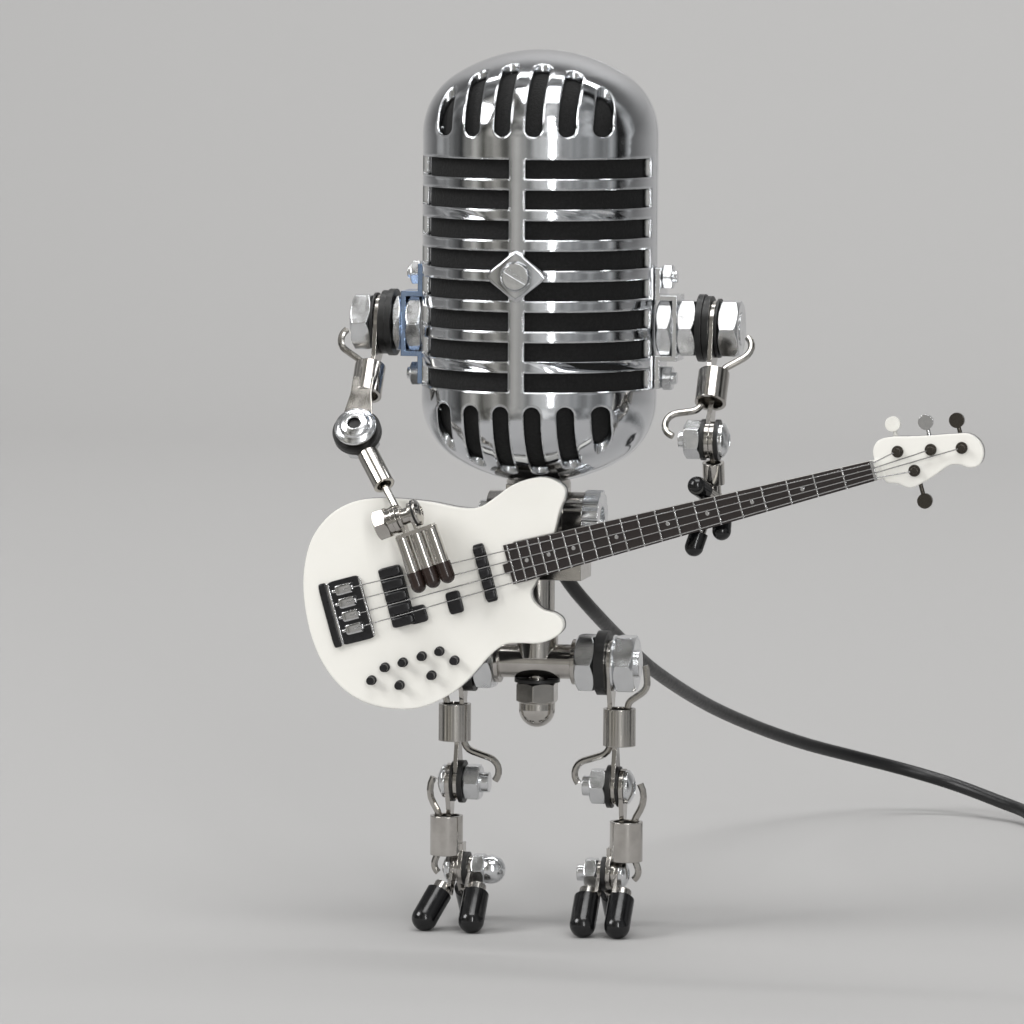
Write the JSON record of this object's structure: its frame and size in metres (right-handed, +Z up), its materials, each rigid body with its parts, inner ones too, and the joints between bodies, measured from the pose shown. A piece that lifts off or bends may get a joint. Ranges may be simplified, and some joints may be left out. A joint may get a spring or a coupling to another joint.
{
  "type": "robot shaped desk lamp",
  "caption": "Desk lamp shaped like a small robot: a slotted microphone shell with a lamp inside, on bolt, nut and crimp lug limbs, holding a miniature bass guitar.",
  "frame": {"origin": "on the surface it stands on, below the middle of the robot's box, without the lead", "axes": "+Z up, -Y the way the robot faces, +X along the row of its shoulders towards the guitar's head"},
  "size_m": [0.2203, 0.2572, 0.2127],
  "materials": {
    "chrome_shell": "mirror chrome over die-cast metal",
    "black_liner": "matt black plastic screen",
    "zinc": "bright zinc plating with a bluish tone",
    "nickel": "tin and nickel plated copper lugs and steel",
    "wire": "bright bent wire",
    "black_rubber": "black rubber and dipped vinyl",
    "diffuser": "opal white lamp cover",
    "holder_white": "white moulded plastic",
    "board": "green solder mask on glass fibre board",
    "guitar_white": "gloss off-white lacquer",
    "guitar_black": "gloss black plastic",
    "fingerboard": "dark stained wood",
    "bright_steel": "bright steel wire and fittings",
    "cord_black": "black flexible plastic jacket"
  },
  "bodies": {
    "base": {"neck_pipe": "nickel", "swivel_base": "nickel", "swivel_knob": "nickel", "hip_tee": "nickel", "acorn_nut": "nickel", "hip_studs": "zinc", "hip_washers": "black_rubber", "cord": "cord_black", "cord_coil": "cord_black", "strain_relief": "cord_black", "usb_plug": "cord_black"},
    "torso": {"front_shell": "chrome_shell", "rear_shell": "chrome_shell", "grille_liner": "black_liner", "shell_fasteners": "zinc", "shoulder_brackets": "zinc", "shoulder_bolts": "zinc", "shoulder_washers": "black_rubber", "swivel_ear": "nickel", "led_bulb": "diffuser", "bulb_holder": "holder_white", "dimmer_board": "board"},
    "arm_right": {"upper_arm_right": "nickel", "arm_wires_right": "wire", "elbow_bolt_right": "zinc"},
    "arm_left": {"upper_arm_left": "nickel", "arm_wires_left": "wire", "elbow_bolt_left": "zinc"},
    "forearm_right": {"forearm_right": "nickel", "hand_right": "nickel", "finger_caps_right": "black_rubber", "guitar_body": "guitar_white", "guitar_back": "guitar_black", "guitar_neck": "guitar_white", "fretboard": "fingerboard", "frets": "bright_steel", "strings": "bright_steel", "bridge": "bright_steel", "pickups": "guitar_black", "control_knobs": "guitar_black", "tuners": "bright_steel"},
    "forearm_left": {"forearm_left": "nickel"},
    "hand_left": {"hand_left": "nickel", "finger_caps_left": "black_rubber"},
    "thigh_right": {"thigh_link_right": "nickel", "thigh_wires_right": "wire", "knee_bolt_right": "zinc"},
    "shin_right": {"shin_link_right": "nickel", "shin_wires_right": "wire"},
    "foot_right": {"ankle_bolt_right": "zinc", "toes_right": "nickel", "toe_caps_right": "black_rubber"},
    "thigh_left": {"thigh_link_left": "nickel", "thigh_wires_left": "wire", "knee_bolt_left": "zinc"},
    "shin_left": {"shin_link_left": "nickel", "shin_wires_left": "wire"},
    "foot_left": {"ankle_bolt_left": "zinc", "toes_left": "nickel", "toe_caps_left": "black_rubber"}
  },
  "joints": [
    {"name": "head_tilt", "type": "hinge", "parent": "base", "child": "torso", "pos_m": [-0.02872, 0.00196, 0.1], "axis": [1, 0, 0], "range_deg": [-12, 3]},
    {"name": "shoulder_right", "type": "hinge", "parent": "torso", "child": "arm_right", "pos_m": [0.01358, 0.00496, 0.1464], "axis": [-1, 0, 0], "range_deg": [-2, 35]},
    {"name": "shoulder_left", "type": "hinge", "parent": "torso", "child": "arm_left", "pos_m": [-0.06842, 0.00496, 0.1464], "axis": [-1, 0, 0], "range_deg": [-2, 35]},
    {"name": "elbow_right", "type": "hinge", "parent": "arm_right", "child": "forearm_right", "pos_m": [0.01588, -0.01282, 0.12101], "axis": [-1, 0, 0], "range_deg": [-2, 3]},
    {"name": "elbow_left", "type": "hinge", "parent": "arm_left", "child": "forearm_left", "pos_m": [-0.06982, -0.01334, 0.12027], "axis": [0, -0.8192, 0.5736], "range_deg": [-12, 4]},
    {"name": "wrist_left", "type": "hinge", "parent": "forearm_left", "child": "hand_left", "pos_m": [-0.05633, -0.02622, 0.10187], "axis": [-0.9397, 0, -0.342], "range_deg": [0, 25]},
    {"name": "hip_right", "type": "hinge", "parent": "base", "child": "thigh_right", "pos_m": [-0.01052, 0.00196, 0.0653], "axis": [1, 0, 0], "range_deg": [-30, 30]},
    {"name": "knee_right", "type": "hinge", "parent": "thigh_right", "child": "shin_right", "pos_m": [-0.00742, 0.00196, 0.0353], "axis": [1, 0, 0], "range_deg": [0, 60]},
    {"name": "ankle_right", "type": "hinge", "parent": "shin_right", "child": "foot_right", "pos_m": [-0.01052, 0.00196, 0.014], "axis": [1, 0, 0], "range_deg": [-20, 20]},
    {"name": "hip_left", "type": "hinge", "parent": "base", "child": "thigh_left", "pos_m": [-0.04692, 0.00196, 0.0653], "axis": [1, 0, 0], "range_deg": [-30, 30]},
    {"name": "knee_left", "type": "hinge", "parent": "thigh_left", "child": "shin_left", "pos_m": [-0.05002, 0.00196, 0.0353], "axis": [1, 0, 0], "range_deg": [0, 60]},
    {"name": "ankle_left", "type": "hinge", "parent": "shin_left", "child": "foot_left", "pos_m": [-0.04692, 0.00196, 0.014], "axis": [1, 0, 0], "range_deg": [-20, 20]}
  ],
  "couplings": [
    {"joint": "shoulder_left", "follows": "shoulder_right", "ratio": 1}
  ]
}
